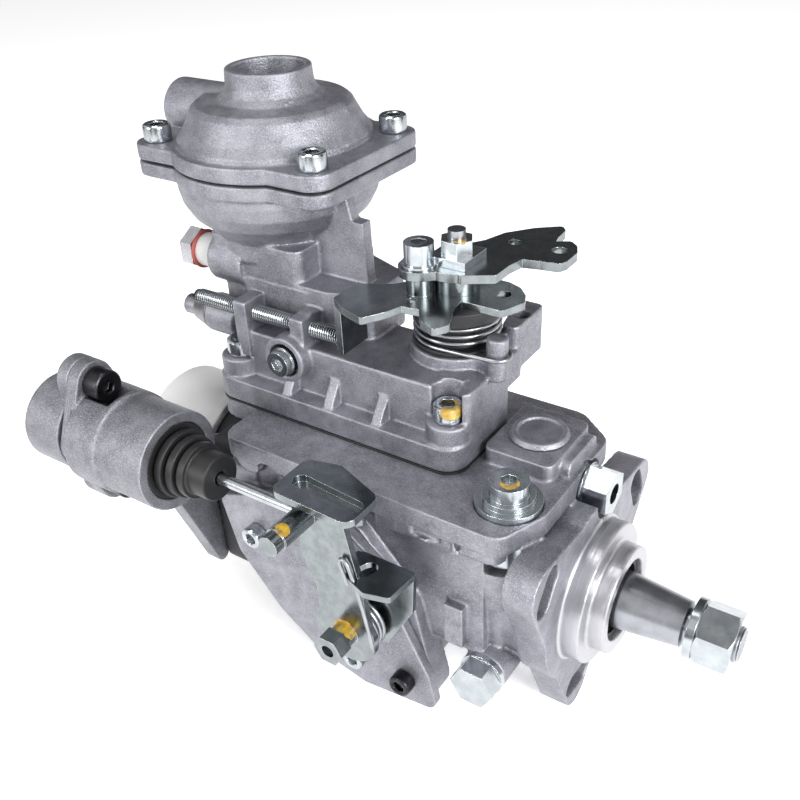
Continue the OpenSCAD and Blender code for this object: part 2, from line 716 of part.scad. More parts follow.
module outlet_cap() {
  color(white) from_x([-187, 0, 2]) difference() {
    union() {
      cylinder(r = 28, h = 34);
      translate([0, 0, 30]) cylinder(r = 29.5, h = 4);
    }
    translate([0, 0, 2.5]) cylinder(r = 26.02, h = 40);
  }
}

module throttle_shaft() {
  color(steel) translate([throttle_x, throttle_y, 0]) {
    translate([0, 0, 56]) cylinder(r = throttle_r, h = 50);
    translate([0, 0, 52]) cylinder(r = 6.5, h = 5);
    translate([-4.5, 0, 49.3]) cylinder(r = 1.8, h = 4);
    translate([0, 0, 105]) cylinder(r = 3, h = 9);
  }
}

module throttle_bore(z) {
  translate([throttle_x, throttle_y, z - 1]) cylinder(r = throttle_r, h = 30);
}

module throttle_lever() {
  color(zinc) difference() {
    union() {
      slab_z(upper_z, upper_z + 3) {
        translate([throttle_x, throttle_y]) circle(11);
        rounded([[-65, 22], [-58.4, 31.5], [-55.6, 40], [-48.9, 48.2], [-42.3, 53.2], [-41, 51.6], [-40.5, 44.8],
          [-39.2, 39.9], [-34, 42.8], [-31.6, 40.8], [-29.6, 36.6], [-29.6, 29.4], [-30.4, 27.5], [-35.9, 26.6],
          [-42.7, 25], [-44.2, 18], [-44.4, 10], [-53, 5]], 1.5);
        bar2([throttle_x, throttle_y], [-68.6, 4.5], 7);
      }
      translate([throttle_x, throttle_y, lower_z + 2.5]) cylinder(r = 7.6, h = upper_z - lower_z - 2);
    }
    throttle_bore(lower_z);
    translate([-34, 36, 90]) cylinder(r = 2.6, h = 30);
    translate([-50, 35, 90]) cylinder(r = 2.2, h = 30);
    translate([-68.6, 4.5, 90]) cylinder(r = 3.1, h = 30);
  }
}

module stop_plate() {
  color(zinc) difference() {
    union() {
      slab_z(lower_z, lower_z + 2.5) {
        rounded([[-66, 20.5], [-78.2, 3.8], [-89.3, -2], [-89.3, -12.8], [-83.4, -16.6], [-75.2, -19.2],
          [-71.4, -12.9], [-69, -6.4], [-61, -5.4], [-56.6, -11.8], [-51.3, -14.4], [-49.5, -11], [-53.5, -2.4],
          [-54.6, 6], [-45.4, 6.2], [-39.4, 6.2], [-36.5, 13.6], [-38.2, 17.4], [-41.8, 21.2], [-46.4, 23],
          [-56.9, 23.3]], 1.5);
      }
      translate([-90.5, -14, 73]) cube([2.5, 14, lower_z + 2.5 - 73]);
      slab_z(lower_z + 2.5 - near, upper_z - pin_gap) translate([-68.6, 4.5]) circle(4.6);
    }
    throttle_bore(lower_z);
    translate([-43.5, 15.6, 80]) cylinder(r = 2.5, h = 30);
    translate([-67.2, -2.6, 80]) cylinder(r = 1.8, h = 30);
    translate([-68.6, 4.5, 80]) cylinder(r = 2.9, h = 30);
  }
}

module lever_fixings() {
  color(zinc) {
    translate([-68.6, 4.5, upper_z + 4]) socket_screw(2.9, 13, 5, 7);
    translate([-68.6, 4.5, upper_z + 3]) tube(6, 3.1, 1);
    translate([throttle_x, throttle_y, upper_z + 3]) difference() {
      translate([-7, -7, 0]) cube([14, 14, 3]);
      translate([0, 0, -1]) cylinder(r = throttle_r, h = 6);
    }
    translate([throttle_x, throttle_y, upper_z + 6]) difference() {
      hex(10, 5);
      translate([0, 0, -1]) cylinder(r = 3, h = 10);
    }
  }
}

module spring_seats() {
  color(black) translate([throttle_x, throttle_y, 0]) {
    translate([0, 0, 86]) tube(seat_r - 1, throttle_r, 5);
    translate([0, 0, boss_top + 0.3]) tube(11.5, throttle_r, 10.8);
    translate([0, 0, boss_top + 0.3]) tube(15.2, throttle_r, 1.4);
  }
}

module throttle_spring() {
  color(steel) translate([throttle_x, throttle_y, boss_top + 2.7]) for (i = [0 : 3])
    translate([0, 0, i * 2.45]) ring_wire(14.4, 0.9);
}

module idle_screw() {
  color(zinc) from_x([-160, -8.5, 76]) cylinder(r = 2.95, h = 69.2);
}

module fuel_screw() {
  color(steel) {
    from_x([-172, -2, 67]) cylinder(r = 3.9, h = 25);
    from_x([-166, -2, 67]) difference() {
      cylinder(r1 = 5, r2 = 7.2, h = 7.7);
      translate([0, 0, -1]) cylinder(r = 3.9, h = 10);
    }
  }
}

module torx_plug() {
  color(zinc) from_y([-112, -21.5, 66]) difference() {
    union() {
      cylinder(r = 4.6, h = 3.2);
      translate([0, 0, 3]) cylinder(r = 5.2, h = 4.5);
      translate([0, 0, 7]) cylinder(r = 3.98, h = 5);
    }
    translate([0, 0, -1]) cylinder(r = 2.6, h = 3, $fn = 6);
  }
}

module side_plug() {
  color(white) from_x([-166, 4, 89]) tube(5.98, 3, 17);
  color(zinc) from_x([-171.5, 4, 89]) {
    difference() {
      hex(14, 5.5);
      translate([0, 0, -1]) cylinder(r = 3, h = 4);
    }
    translate([0, 0, 5]) cylinder(r = 3, h = 12);
  }
}

module reg_valve() {
  color(zinc) translate([-21, -21, 24]) difference() {
    union() {
      cylinder(r = 10.95, h = 20);
      translate([0, 0, 19]) cylinder(r = 8.5, h = 3);
      translate([0, 0, 19]) cylinder(r = 6.5, h = 8);
    }
    translate([0, 0, -1]) cylinder(r = 3.5 + run_fit, h = 16);
    translate([0, 0, 24]) hex(5, 5);
  }
}

module reg_piston() {
  color(steel) translate([-21, -21, 25]) difference() {
    cylinder(r = 3.5, h = 9);
    translate([0, 0, 3]) cylinder(r = 2, h = 10);
  }
}

module inlet_union() {
  color(zinc) from_x([-10, inlet_y, inlet_z]) difference() {
    union() {
      tube(8.3, 6, 2.5);
      translate([0, 0, 2.5]) hex(14, 9);
      translate([0, 0, -8]) cylinder(r = 5.98, h = 12);
    }
    translate([0, 0, -9]) cylinder(r = 3.6, h = 40);
  }
}

module top_plug() {
  color(alu) translate([-26, 10, deck_z + 1.3]) difference() {
    union() {
      cylinder(r = 8.95, h = 6);
      translate([0, 0, 4.95]) cylinder(r1 = 10.4, r2 = 9.4, h = 1.8);
    }
    translate([0, 0, 5.8]) cylinder(r = 7.5, h = 3);
  }
}

module return_bolt() {
  color(zinc) from_y([-21, -45, -20]) {
    hex(14, 7);
    translate([0, 0, 6]) cylinder(r = 5, h = 11);
    translate([0, 0, 7]) tube(8, 5, 2);
  }
}

module cold_lever() {
  color(zinc) {
    difference() {
      union() {
        slab_y(lever_y, lever_y + 2.5) {
          translate([pivot_x, pivot_z]) circle(12);
          rounded([[pivot_x - 8.5, pivot_z + 2], [-71, 12], [-76.5, 24], [-75.5, 33], [-75.5, 45], [-61, 45], [-58, 30], [-55, 16],
            [pivot_x + 9, pivot_z + 2]], 1.5);
        }
        slab_z(44.5, 47) rounded([[-80, lever_y + 2], [-80, -45], [-60, -45], [-54, lever_y + 2]], 2);
        slab_z(20, 22.2) difference() {
          rounded([[-62, -56.5], [-62, -47], [-41.5, -47], [-42.5, -58.5], [-50, -60.5]], 1);
          bar2([-55.5, -53.5], [-54.5, -51], 2.6);
        }
        slab_y(-47.2, -45.2) rounded([[-61, 21], [-41.5, 21], [-42.5, 6], [-53, -13], [-63, -13]], 1);
      }
      from_y([pivot_x, lever_y - 1, pivot_z]) cylinder(r = 5, h = 10);
      from_y([-74, lever_y - 1, rod_z]) cylinder(r = 4, h = 10);
    }
    slab_z(47 + near, 49.5) difference() {
      rounded([[-80, -58], [-80, -46], [-72, -44], [-56, -50], [-56, -59]], 4);
      bar2([-78, -53], [-56, -55], 3);
    }
    from_y([-74, lever_y - 14, rod_z]) cylinder(r = 4, h = 20);
    from_y([-74, lever_y - 18, rod_z]) cylinder(r = 3.5, h = 4.5);
    from_y([pivot_x, -57.6, pivot_z]) cylinder(r = 5, h = 19.6);
    from_y([pivot_x, -63, pivot_z]) cylinder(r = 4.4, h = 6);
    from_y([pivot_x, -67.5, pivot_z]) difference() {
      hex(10, 5.5);
      translate([0, 0, -1]) cylinder(r = 2.4, h = 4);
    }
  }
}

module cold_spring() {
  color(steel) for (i = [0 : 3]) from_y([pivot_x, -48.4 - i * 1.87, pivot_z]) ring_wire(10, 0.85);
}

module actuator() {
  color(alu) difference() {
    union() {
      from_x([-167, rod_y, rod_z]) cylinder(r = 19, h = 15);
      from_x([-152.5, rod_y, rod_z]) cylinder(r = 18, h = 22.5);
      slab_x(-171.5, -166) rounded([[rod_y - 9, rod_z], [rod_y, rod_z - wax_screw_z], [rod_y + 9, rod_z],
        [rod_y, rod_z + wax_screw_z]], 8);
      slab_x(-149, -142) rounded([[rod_y, rod_z - 8], [rod_y + 10, rod_z - 30], [-34.3, -24], [-34.3, -8], [-38, 20]], 3);
    }
    from_x([-150, rod_y, rod_z]) cylinder(r = 14, h = 30);
    from_x([-166, rod_y, rod_z]) cylinder(r = 11, h = 17);
    from_x([-172, rod_y, rod_z]) cylinder(r = 14, h = 3.5);
    from_x([-170, rod_y, rod_z]) cylinder(r = 5.3, h = 10);
    for (z = [-wax_screw_z, wax_screw_z]) {
      from_x([-172, rod_y, rod_z + z]) cylinder(r = 2.6, h = 9);
      from_x([-166, rod_y, rod_z + z]) cylinder(r = 6.6, h = 12);
    }
  }
}

module actuator_cover() {
  color(alu) difference() {
    union() {
      from_x([-190.5, rod_y, rod_z]) cylinder(r = 17, h = 18);
      from_x([-192.5, rod_y, rod_z]) cylinder(r = 14.5, h = 3);
      from_x([-173, rod_y, rod_z]) cylinder(r = 13.9, h = 3.5);
      slab_x(-177, -171.51) bar2([rod_y, rod_z - wax_screw_z], [rod_y, rod_z + wax_screw_z], 8);
    }
    from_x([-189, rod_y, rod_z]) cylinder(r = 12, h = 40);
    for (z = [-wax_screw_z, wax_screw_z]) from_x([-178, rod_y, rod_z + z]) cylinder(r = 2.6, h = 9);
  }
}

module wax_element() {
  color(brass) from_x([-184.5, rod_y, rod_z]) {
    cylinder(r = 9, h = 16);
    translate([0, 0, 16 - near]) cylinder(r = 5, h = 8);
  }
}

module bellows() {
  color(black) from_x([-149.5, rod_y, rod_z]) difference() {
    union() {
      cylinder(r = 13.97, h = 19);
      for (i = [0 : 2]) translate([0, 0, 20 + i * 4]) cylinder(r = 12.2 - i * 1.1, h = 3);
      translate([0, 0, 18.5]) cylinder(r = 8.2, h = 20.5);
    }
    translate([0, 0, -1]) cylinder(r = 2.3, h = 60);
    translate([0, 0, -1]) cylinder(r = 9, h = 14);
  }
}

module push_rod() {
  color(zinc) from_x([-160.2, rod_y, rod_z]) cylinder(r = 2, h = 81.9);
}

housing();
gov_cover();
cover_gasket();
m6_screws();
m5_screws();
comp_cap();
diaphragm();
boost_pin();
boost_spring();
drive_shaft();
shaft_nut();
shaft_seal();
front_bush();
vane_rotor();
vanes();
vane_ring();
drive_gear();
roller_ring();
rollers();
cam_disc();
plunger();
spring_bridge();
plunger_springs();
control_sleeve();
gov_shaft();
gov_gear();
flyweights();
gov_sleeve();
gov_lever();
timing_piston();
timing_spring();
timing_cap();
timing_cover();
dist_head();
valve_holders();
delivery_valves();
central_plug();
outlet_cap();
throttle_shaft();
throttle_lever();
stop_plate();
lever_fixings();
spring_seats();
throttle_spring();
idle_screw();
fuel_screw();
torx_plug();
side_plug();
reg_valve();
reg_piston();
inlet_union();
top_plug();
return_bolt();
cold_lever();
cold_spring();
actuator();
actuator_cover();
wax_element();
bellows();
push_rod();
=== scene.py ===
import bmesh
import bpy
import json
import math
from mathutils import Matrix, Vector


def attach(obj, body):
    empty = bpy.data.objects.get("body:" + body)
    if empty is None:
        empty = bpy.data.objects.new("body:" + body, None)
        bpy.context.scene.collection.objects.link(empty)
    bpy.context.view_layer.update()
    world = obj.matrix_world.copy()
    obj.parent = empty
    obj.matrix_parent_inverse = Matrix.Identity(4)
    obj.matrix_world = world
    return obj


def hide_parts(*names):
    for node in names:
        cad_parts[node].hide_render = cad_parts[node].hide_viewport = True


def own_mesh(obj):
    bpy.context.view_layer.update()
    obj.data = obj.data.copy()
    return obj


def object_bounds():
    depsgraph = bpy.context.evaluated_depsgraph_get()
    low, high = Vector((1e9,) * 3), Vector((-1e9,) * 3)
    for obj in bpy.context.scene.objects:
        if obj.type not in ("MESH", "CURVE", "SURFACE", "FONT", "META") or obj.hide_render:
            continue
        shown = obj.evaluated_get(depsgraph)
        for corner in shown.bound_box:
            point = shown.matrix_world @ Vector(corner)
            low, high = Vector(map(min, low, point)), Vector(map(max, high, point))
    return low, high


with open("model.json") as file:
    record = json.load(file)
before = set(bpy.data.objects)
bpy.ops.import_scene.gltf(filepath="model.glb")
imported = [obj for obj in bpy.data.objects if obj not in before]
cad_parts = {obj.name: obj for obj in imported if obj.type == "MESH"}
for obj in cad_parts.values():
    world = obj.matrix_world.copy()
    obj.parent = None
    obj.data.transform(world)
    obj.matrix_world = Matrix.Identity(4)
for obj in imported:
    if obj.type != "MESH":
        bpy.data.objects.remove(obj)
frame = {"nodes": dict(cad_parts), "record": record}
nodes = frame["nodes"]
cadBox = [list(corner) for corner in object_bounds()]
print("frame loaded:", len(nodes), "nodes")


# shader maths: a Wire is a socket that takes part in expressions
class Wire:
    def __init__(self, graph, socket):
        self.graph = graph
        self.socket = socket

    def __add__(self, other):
        return self.graph.maths("ADD", self, other)

    def __sub__(self, other):
        return self.graph.maths("SUBTRACT", self, other)

    def __mul__(self, other):
        return self.graph.maths("MULTIPLY", self, other)

    def __rsub__(self, other):
        return self.graph.maths("SUBTRACT", other, self)

    def __pow__(self, other):
        return self.graph.maths("POWER", self, other)

    __radd__ = __add__
    __rmul__ = __mul__

    def over(self, low, high, start=0.0, end=1.0):
        # smooth step from start to end as the value goes from low to high
        limits = {"Value": self, "From Min": low, "From Max": high, "To Min": start, "To Max": end}
        return self.graph.node("ShaderNodeMapRange", {"interpolation_type": "SMOOTHSTEP"}, limits)


class Graph:
    def __init__(self, name):
        self.material = bpy.data.materials.new(name)
        self.material.use_nodes = True
        self.tree = self.material.node_tree
        self.tree.nodes.clear()
        self.place = self.node("ShaderNodeTexCoord", {}, {}, "Object")

    def node(self, kind, settings, values, out=0):
        made = self.tree.nodes.new(kind)
        for name, value in settings.items():
            setattr(made, name, value)
        for name, value in values.items():
            socket = made.inputs[name]
            if isinstance(value, Wire):
                self.tree.links.new(value.socket, socket)
            elif isinstance(value, tuple) and len(value) == 3 and socket.type == "RGBA":
                socket.default_value = (*value, 1)
            else:
                socket.default_value = value
        return Wire(self, made.outputs[out]) if made.outputs else None

    def maths(self, operation, *values):
        return self.node("ShaderNodeMath", {"operation": operation}, dict(enumerate(values)))

    def vector(self, operation, *values, out=0):
        return self.node("ShaderNodeVectorMath", {"operation": operation}, dict(enumerate(values)), out)

    def noise(self, scale, detail=2.0, rough=0.5):
        return self.node("ShaderNodeTexNoise", {}, {"Vector": self.place, "Scale": scale,
                                                    "Detail": detail, "Roughness": rough})

    def cells(self, scale):
        return self.node("ShaderNodeTexVoronoi", {"feature": "F1"}, {"Vector": self.place, "Scale": scale},
                         "Distance")

    def mix(self, factor, first, second):
        return self.node("ShaderNodeMix", {"data_type": "RGBA"}, {0: factor, 6: first, 7: second}, 2)

    def bump(self, height, strength, distance, normal=None):
        values = {"Height": height, "Strength": strength, "Distance": distance}
        if normal:
            values["Normal"] = normal
        return self.node("ShaderNodeBump", {}, values)

    def edges(self, radius):
        # normals rounded over the edges, and how far they turn there
        soft = self.node("ShaderNodeBevel", {"samples": 6}, {"Radius": radius})
        flat = self.node("ShaderNodeNewGeometry", {}, {}, "Normal")
        return soft, 1 - self.vector("DOT_PRODUCT", soft, flat, out=1)

    def near(self, spots):
        # 1 inside any of the spots, given as (x, y, z, radius) in millimetres
        total = None
        wobble = (self.noise(260, 2) - 0.5) * 0.0022
        for x, y, z, radius in spots:
            gap = self.vector("DISTANCE", self.place, (x / 1000, y / 1000, z / 1000), out=1) + wobble
            inside = gap.over(radius / 1000 + 0.00012, radius / 1000 - 0.00012)
            total = inside if total is None else self.maths("MAXIMUM", total, inside)
        return total

    def finish(self, **values):
        names = {"colour": "Base Color", "metallic": "Metallic", "rough": "Roughness", "normal": "Normal"}
        shader = self.node("ShaderNodeBsdfPrincipled", {}, {names[k]: v for k, v in values.items()})
        self.node("ShaderNodeOutputMaterial", {}, {"Surface": shader})
        return self.material


# pale edge colour: partly real edge wear, partly a painted highlight
castLook = {"light": (0.335, 0.335, 0.375), "dark": (0.19, 0.19, 0.22), "fleck": (0.56, 0.56, 0.60),
            # darkest colour: painted shade in the recesses
            "edgeWearAndHighlight": (0.62, 0.62, 0.66), "darkToneAndShade": (0.05, 0.05, 0.06), "grain": 2300, "pits": 1100,
            "bump": 0.8, "relief": 0.00024}
turnedFace = {"radius": 0.0262, "soft": 0.0002, "start": -0.0006, "full": -0.0001, "lines": 5200.0,
              "dark": (0.36, 0.36, 0.38), "light": (0.58, 0.58, 0.61)}


def castAluminium(name, look, machined=None):
    g = Graph(name)
    curve = g.node("ShaderNodeNewGeometry", {}, {}, "Pointiness")
    broad = g.noise(34, 3)
    patch = g.noise(190, 3, 0.6)
    grain = g.noise(look["grain"], 3, 0.65)
    sand = g.cells(look["pits"])
    colour = g.mix((broad * 0.5 + patch * 0.5).over(0.34, 0.66), look["dark"], look["light"])
    colour = g.mix(grain.over(0.44, 0.70) * 0.55, colour, look["fleck"])
    # paler on convex edges, found by pointiness: partly edge wear, partly painted highlight
    colour = g.mix(curve.over(0.512, 0.58) * 0.5, colour, look["edgeWearAndHighlight"])
    # darker in concave places, found by pointiness: painted shade in the recesses
    colour = g.mix(curve.over(0.49, 0.42) * 0.7, colour, look["darkToneAndShade"])
    rough = 0.36 + patch * 0.12 + grain * 0.16
    height = grain * 0.7 + sand.over(0.0, 0.55) * 0.3 + patch * 0.4
    if machined:
        # turned faces at the mounting end, inside the given radius
        parts = g.node("ShaderNodeSeparateXYZ", {}, {"Vector": g.place})
        x, y, z = (Wire(g, parts.socket.node.outputs[i]) for i in range(3))
        radius = (y * y + z * z) ** 0.5
        outside, inside = machined["radius"] + machined["soft"], machined["radius"] - machined["soft"]
        turned = x.over(machined["start"], machined["full"]) * radius.over(outside, inside)
        rings = g.node("ShaderNodeTexNoise", {"noise_dimensions": "1D"},
                       {"W": radius + x, "Scale": machined["lines"], "Detail": 2.0})
        colour = g.mix(turned, colour, g.mix(rings, machined["dark"], machined["light"]))
        rough = rough * (1 - turned) + turned * (0.26 + rings * 0.12)
        height = height * (1 - turned) + turned * rings * 0.35
    normal = g.bump(height, look["bump"], look["relief"])
    return g.finish(colour=colour, metallic=0.9, rough=rough, normal=normal)


plateLook = {"colour": (0.50, 0.53, 0.55), "darkToneAndShade": (0.40, 0.43, 0.45), "rough": 0.17}
# a darker copy of the bright zinc for the lever: painted dark reflection on its flat faces
darkReflectionLeverLook = {"colour": (0.29, 0.315, 0.32), "darkToneAndShade": (0.21, 0.23, 0.24), "rough": 0.2}
nickelLook = {"colour": (0.62, 0.62, 0.64), "darkToneAndShade": (0.5, 0.5, 0.53), "rough": 0.22}
oiledLook = {"colour": (0.34, 0.34, 0.36), "darkToneAndShade": (0.22, 0.22, 0.24), "rough": 0.35}
blackLook = {"colour": (0.045, 0.045, 0.05), "darkToneAndShade": (0.03, 0.03, 0.035), "rough": 0.32}
paintLook = {"thin": (0.50, 0.27, 0.008), "thick": (0.68, 0.46, 0.02)}


def platedSteel(name, look, paint=(), groove=None):
    g = Graph(name)
    soft, turn = g.edges(0.00025)
    cloud = g.noise(240, 4, 0.6)
    fine = g.noise(5200, 2)
    colour = g.mix(cloud.over(0.3, 0.75), look["darkToneAndShade"], look["colour"])
    # painted highlight: paler where the rounded edge normal turns away from the flat one
    colour = g.mix(turn.over(0.02, 0.3) * 0.7, colour, (0.9, 0.92, 0.93))
    if groove:
        # painted shade: dark thread roots, by the distance from the screw's own line along X
        across = g.vector("MULTIPLY", g.vector("SUBTRACT", g.place, groove["line"]), (0, 1, 1))
        reach = g.vector("LENGTH", across, out=1)
        colour = g.mix(reach.over(groove["crest"], groove["root"]), colour, (0.03, 0.03, 0.035))
    rough = look["rough"] + cloud * 0.06
    metallic = 1.0
    if paint:
        # brushed marks that thin out in patches
        spot = g.near(paint) * g.noise(600, 3, 0.6).over(0.3, 0.6, 0.5, 0.95)
        yellow = g.mix(g.noise(500, 2).over(0.35, 0.7), paintLook["thin"], paintLook["thick"])
        colour = g.mix(spot, colour, yellow)
        rough = rough * (1 - spot) + spot * 0.3
        metallic = 1 - spot * 0.9
        height = fine * 0.12 + cloud * 0.3 + spot * 1.5
    else:
        height = fine * 0.12 + cloud * 0.3
    normal = g.bump(height, 0.35, 0.00012, soft)
    return g.finish(colour=colour, metallic=metallic, rough=rough, normal=normal)


def turnedSteel(name, colour, rough):
    g = Graph(name)
    soft, turn = g.edges(0.0002)
    lines = g.node("ShaderNodeTexWave", {"wave_type": "BANDS", "bands_direction": "X"},
                   {"Vector": g.place, "Scale": 450.0, "Distortion": 2.0, "Detail": 2.0})
    cloud = g.noise(160, 3)
    tone = g.mix(cloud.over(0.3, 0.7), tuple(c * 0.8 for c in colour), colour)
    # painted highlight: paler where the rounded edge normal turns away from the flat one
    tone = g.mix(turn.over(0.02, 0.3) * 0.6, tone, (0.8, 0.8, 0.82))
    normal = g.bump(lines * 0.4 + cloud * 0.3, 0.12, 0.0001, soft)
    return g.finish(colour=tone, metallic=1.0, rough=rough + cloud * 0.1, normal=normal)


def softMaterial(name, colour, rough, grain, strength, darkToneAndShade=0.75):
    g = Graph(name)
    soft, turn = g.edges(0.0004)
    cloud = g.noise(90, 3)
    fine = g.noise(grain, 3, 0.6)
    tone = g.mix(cloud.over(0.3, 0.7), tuple(c * darkToneAndShade for c in colour), colour)
    # painted highlight: paler where the rounded edge normal turns away from the flat one
    tone = g.mix(turn.over(0.02, 0.3) * 0.3, tone, tuple(min(1, c * 1.5 + 0.02) for c in colour))
    normal = g.bump(fine, strength, 0.00015, soft)
    return g.finish(colour=tone, metallic=0.0, rough=rough + fine * 0.15, normal=normal)


# yellow paint marks: x, y, z and radius in millimetres
paintSpots = [(-46.5, -13, 64, 3.6), (-47.5, -10, 65.5, 2.2), (-57.5, 11.5, 112.5, 2.9),
              (-66.5, 3, 104.2, 1.6), (-20, -22.5, 51, 3.1), (-73, -69.5, 43.2, 2.3), (-62, -59, -3.5, 4.4)]
# a darker copy of the cast aluminium for the actuator: painted shade, as it faces away from the light
shadedActuatorLook = {**castLook, "light": (0.27, 0.275, 0.30), "dark": (0.15, 0.15, 0.17)}
slotMaterials = {
    "cast_alu": castAluminium("castAluminium", castLook, turnedFace),
    "actuator_alu": castAluminium("shadedActuatorAluminium", shadedActuatorLook),
    "zinc": platedSteel("brightZinc", plateLook, paintSpots),
    "lever_zinc": platedSteel("darkReflectionLeverZinc", darkReflectionLeverLook, paintSpots),
    "fitting": platedSteel("nickel", nickelLook),
    "dark_screw": platedSteel("oiledSteel", oiledLook),
    "steel": turnedSteel("turnedSteel", (0.36, 0.37, 0.40), 0.24),
    "ground_steel": turnedSteel("groundSteel", (0.5, 0.5, 0.53), 0.2),
    "spring_steel": turnedSteel("springWire", (0.40, 0.41, 0.43), 0.25),
    "black_iron": softMaterial("blackHead", (0.03, 0.031, 0.034), 0.5, 2200, 0.4),
    "rubber": softMaterial("rubber", (0.012, 0.012, 0.013), 0.38, 1800, 0.2),
    "black_plastic": softMaterial("blackPlastic", (0.018, 0.018, 0.02), 0.42, 2600, 0.2),
    "white_plastic": softMaterial("whitePlastic", (0.82, 0.82, 0.81), 0.4, 900, 0.1, 0.96),
    "bronze": turnedSteel("bronze", (0.55, 0.36, 0.17), 0.25),
}
blackOxide = platedSteel("blackOxide", blackLook)
# bright zinc with painted shade in the thread roots
rootShadedZinc = platedSteel("rootShadedZinc", plateLook, (),
                         {"line": (0, -0.0085, 0.076), "crest": 0.0029, "root": 0.0025})
slotOf = {part["node"]: part["material_slot"] for part in frame["record"]["subparts"]}
for name, thing in nodes.items():
    thing.data.materials.clear()
    thing.data.materials.append(slotMaterials[slotOf[name]])
print("materials on", len(nodes), "nodes")


def newPiece(name, mesh, body, slot, replaced=(), material=None):
    thing = bpy.data.objects.new(name, mesh)
    bpy.context.scene.collection.objects.link(thing)
    mesh.materials.clear()
    mesh.materials.append(material or slotMaterials[slot])
    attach(thing, body)
    if replaced:
        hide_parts(*replaced)
    return thing


def millimetres(*values):
    return Vector(values) / 1000


def evaluated(thing):
    depsgraph = bpy.context.evaluated_depsgraph_get()
    return bpy.data.meshes.new_from_object(thing.evaluated_get(depsgraph))


def shaded(mesh, angle=35):
    mesh.polygons.foreach_set("use_smooth", [True] * len(mesh.polygons))
    mesh.set_sharp_from_angle(angle=math.radians(angle))
    return mesh


def castPiece(name, source, body, look):
    # the CAD shape with the soft edges and corners of a sand casting
    build = bmesh.new()
    build.from_mesh(nodes[source].data)
    bmesh.ops.remove_doubles(build, verts=build.verts, dist=1e-6)
    for low, high in look.get("lugs", ()):
        middle = (millimetres(*low) + millimetres(*high)) / 2
        span = millimetres(*high) - millimetres(*low)
        place = Matrix.Translation(middle) @ Matrix.Diagonal((*span, 1))
        bmesh.ops.create_cube(build, size=1, matrix=place)
    bmesh.ops.recalc_face_normals(build, faces=build.faces)
    mesh = bpy.data.meshes.new(name)
    build.to_mesh(mesh)
    build.free()
    thing = bpy.data.objects.new(name + "Source", mesh)
    bpy.context.scene.collection.objects.link(thing)
    remesh = thing.modifiers.new("grid", "REMESH")
    remesh.mode = "VOXEL"
    remesh.voxel_size = look["voxel"] / 1000
    smooth = thing.modifiers.new("soften", "SMOOTH")
    smooth.factor = 0.5
    smooth.iterations = look["rounds"]
    reduce = thing.modifiers.new("reduce", "DECIMATE")
    reduce.ratio = look["keep"]
    result = evaluated(thing)
    bpy.data.objects.remove(thing)
    result.polygons.foreach_set("use_smooth", [True] * len(result.polygons))
    newPiece(name, result, body, slotOf[source], [source])
    print(name, len(result.polygons), "faces")


# source node, body, and in millimetres the grid of the remesh; the lugs are boxes that deepen the cover's
# two stop screw lugs, which are shallower in the CAD
castings = {
    "housingCasting": ("housing", "pump", {"voxel": 0.5, "rounds": 7, "keep": 0.22}),
    "coverCasting": ("gov_cover", "pump", {"voxel": 0.45, "rounds": 8, "keep": 0.30,
                                           "lugs": [((-137.2, -14.2, 60), (-131.3, -4, 81.8)),
                                                    ((-111.2, -14.2, 60.5), (-105.3, -4, 81.2))]}),
    "capCasting": ("comp_cap", "pump", {"voxel": 0.4, "rounds": 8, "keep": 0.5}),
    "timingCasting": ("timing_cover", "pump", {"voxel": 0.35, "rounds": 5, "keep": 0.5}),
    "timingCapCasting": ("timing_cap", "pump", {"voxel": 0.35, "rounds": 5, "keep": 0.5}),
    "actuatorCasting": ("actuator", "pump", {"voxel": 0.4, "rounds": 7, "keep": 0.5}),
    "actuatorLid": ("actuator_cover", "pump", {"voxel": 0.4, "rounds": 7, "keep": 0.5}),
    "headCasting": ("dist_head", "pump", {"voxel": 0.45, "rounds": 5, "keep": 0.5}),
    "plugCasting": ("top_plug", "pump", {"voxel": 0.3, "rounds": 4, "keep": 0.6}),
    "bellowsFolds": ("bellows", "pump", {"voxel": 0.3, "rounds": 9, "keep": 0.6}),
    "throttleSeats": ("spring_seats", "throttle", {"voxel": 0.3, "rounds": 4, "keep": 0.6}),
    "whiteCap": ("outlet_cap", "pump", {"voxel": 0.35, "rounds": 6, "keep": 0.2}),
}
for pieceName, (source, body, look) in castings.items():
    castPiece(pieceName, source, body, look)
print("castings done")


# a geometry node tree with named inputs
class Shape(Graph):
    def __init__(self, name, inputs):
        self.tree = bpy.data.node_groups.new(name, "GeometryNodeTree")
        face = self.tree.interface
        face.new_socket("Geometry", in_out="INPUT", socket_type="NodeSocketGeometry")
        for label, kind in inputs.items():
            face.new_socket(label, in_out="INPUT", socket_type=kind)
        face.new_socket("Geometry", in_out="OUTPUT", socket_type="NodeSocketGeometry")
        self.entry = self.tree.nodes.new("NodeGroupInput")
        self.way = {item.name: item.identifier for item in face.items_tree if item.in_out == "INPUT"}

    def given(self, name):
        return Wire(self, self.entry.outputs[name])

    def close(self, geometry):
        real = self.node("GeometryNodeRealizeInstances", {}, {"Geometry": geometry})
        done = self.node("GeometryNodeSetMaterial", {},
                         {"Geometry": real, "Material": self.given("Material")})
        self.tree.links.new(done.socket, self.tree.nodes.new("NodeGroupOutput").inputs[0])

    def make(self, name, mesh, values):
        thing = bpy.data.objects.new(name + "Source", mesh)
        modifier = thing.modifiers.new("shape", "NODES")
        modifier.node_group = self.tree
        for label, value in values.items():
            modifier[self.way[label]] = value
        bpy.context.scene.collection.objects.link(thing)
        result = evaluated(thing)
        result.name = name
        thing.modifiers.clear()
        bpy.data.objects.remove(thing)
        return result


